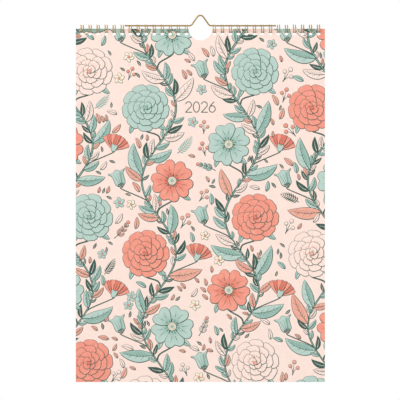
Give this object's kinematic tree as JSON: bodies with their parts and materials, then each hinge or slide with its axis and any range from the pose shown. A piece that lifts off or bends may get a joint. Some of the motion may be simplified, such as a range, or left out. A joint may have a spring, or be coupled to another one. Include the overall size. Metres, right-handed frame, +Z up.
{
  "type": "wall calendar",
  "caption": "Wire-bound wall calendar: floral cover over a block of month pages and a backing board, on twin-loop combs with a kinked hanger rod.",
  "frame": {"origin": "the hang point: where a nail touches the underside of the kink in the hanger rod", "axes": "+Z up, +Y towards the wall, +X along the binding to the viewer's right; the printed cover faces -Y"},
  "size_m": [0.263, 0.0096, 0.3879],
  "materials": {
    "cover_card": "printed card with a smooth silk coating, pale pink ground",
    "page_paper": "smooth white paper leaves, cut edges",
    "greyboard": "uncoated grey backing board with flecks of fibre",
    "comb_wire": "gold-coloured coated steel wire, satin",
    "hanger_wire": "gold-coloured coated steel rod, satin"
  },
  "bodies": {
    "hanger": {"hanger": "hanger_wire"},
    "binding": {"left_comb": "comb_wire", "right_comb": "comb_wire", "month_pages": "page_paper", "back_board": "greyboard"},
    "cover": {"front_cover": "cover_card"}
  },
  "joints": [
    {"name": "hanger_fold", "type": "hinge", "parent": "hanger", "child": "binding", "pos_m": [0, 0, -0.0101], "axis": [1, 0, 0], "continuous": true},
    {"name": "cover_turn", "type": "hinge", "parent": "binding", "child": "cover", "pos_m": [0, 0, -0.0132], "axis": [-1, 0, 0], "range_deg": [0, 120]}
  ]
}
